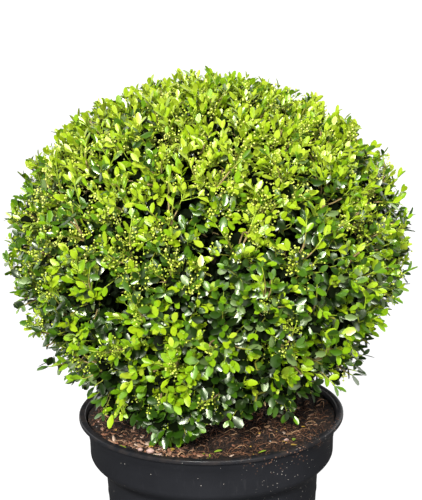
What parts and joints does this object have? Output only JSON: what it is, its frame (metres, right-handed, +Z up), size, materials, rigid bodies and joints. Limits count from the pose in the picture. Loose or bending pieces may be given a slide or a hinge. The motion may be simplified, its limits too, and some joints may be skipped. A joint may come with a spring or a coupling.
{
  "type": "potted clipped japanese holly ball",
  "caption": "Evergreen shrub clipped to a ball on a short forked stem, in a plain round nursery pot filled with soil.",
  "frame": {"origin": "centre of the pot's flat underside", "axes": "+Z up along the pot's axis; -Y towards the viewer of the picture, +X to that viewer's right"},
  "size_m": [0.5295, 0.5246, 0.7678],
  "materials": {
    "black_plastic": "satin",
    "potting_soil": "matte",
    "bark": "matte",
    "foliage": "satin"
  },
  "bodies": {
    "root": {"pot": "black_plastic", "soil": "potting_soil", "stem": "bark", "side_bough_1": "bark", "side_bough_2": "bark", "side_bough_3": "bark", "side_bough_4": "bark", "side_bough_5": "bark", "side_bough_6": "bark", "leader_bough": "bark", "crown": "foliage"}
  },
  "joints": []
}
